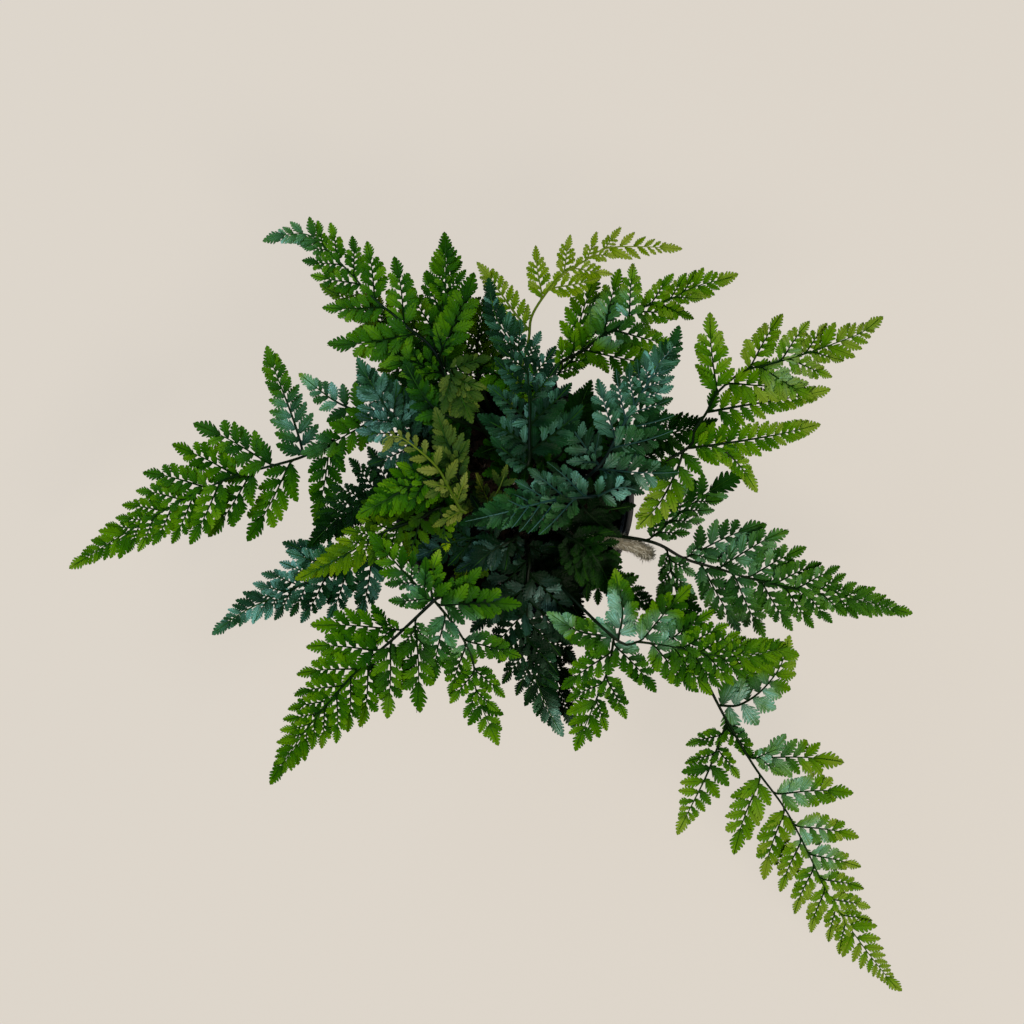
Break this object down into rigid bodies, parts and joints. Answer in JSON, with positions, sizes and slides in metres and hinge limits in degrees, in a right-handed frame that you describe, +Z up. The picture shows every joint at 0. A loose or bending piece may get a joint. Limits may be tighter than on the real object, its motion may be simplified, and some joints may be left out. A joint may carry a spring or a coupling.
{
  "type": "potted rabbit's foot fern",
  "caption": "Round black nursery pot of soil with furry creeping rhizomes and a low, wide, arching crown of finely cut leathery fern fronds, one of them trailing.",
  "frame": {"origin": "middle of the pot's underside, on the surface it stands on", "axes": "+Z up, +X to the plant's right and +Y to its back, as the picture shows it from straight above"},
  "size_m": [0.4022, 0.3735, 0.1634],
  "materials": {
    "pot": "satin",
    "soil": "matte",
    "rhizome": "matte",
    "frond_green": "satin",
    "frond_teal": "satin",
    "frond_lime": "satin",
    "frond_olive": "satin",
    "frond_dark": "satin"
  },
  "bodies": {
    "root": {"pot": "pot", "soil": "soil", "rhizome_left_back": "rhizome", "rhizome_back": "rhizome", "rhizome_right_back": "rhizome", "rhizome_right": "rhizome", "rhizome_over_rim": "rhizome", "rhizome_front": "rhizome", "rhizome_left_front": "rhizome", "rhizome_left": "rhizome", "frond_left_long": "frond_green", "frond_upper_left": "frond_green", "frond_upper_left_under": "frond_lime", "frond_top": "frond_green", "frond_top_under": "frond_lime", "frond_top_young": "frond_lime", "frond_upper_right": "frond_green", "frond_centre_top": "frond_teal", "frond_right_inner": "frond_dark", "frond_right_steep": "frond_teal", "frond_right_under": "frond_dark", "frond_right_broad": "frond_green", "frond_right_low": "frond_green", "frond_centre_across": "frond_teal", "frond_trailing": "frond_green", "frond_lower_right": "frond_green", "frond_lower_right_small": "frond_dark", "frond_lower_right_inner": "frond_dark", "frond_bottom": "frond_teal", "frond_bottom_under": "frond_dark", "frond_lower_left": "frond_green", "frond_left_teal": "frond_teal", "frond_left_lime": "frond_lime", "frond_left_dark": "frond_dark", "frond_left_bright": "frond_green", "frond_left_upright": "frond_teal", "frond_left_small": "frond_green", "frond_centre_folded": "frond_olive", "frond_centre_olive": "frond_olive", "frond_centre_young": "frond_olive", "frond_centre_lime": "frond_lime", "frond_centre_curl": "frond_olive", "frond_centre_under": "frond_teal", "frond_front_dark": "frond_dark", "frond_right_dark": "frond_dark", "frond_back_green": "frond_green", "frond_left_back_dark": "frond_dark"}
  },
  "joints": []
}
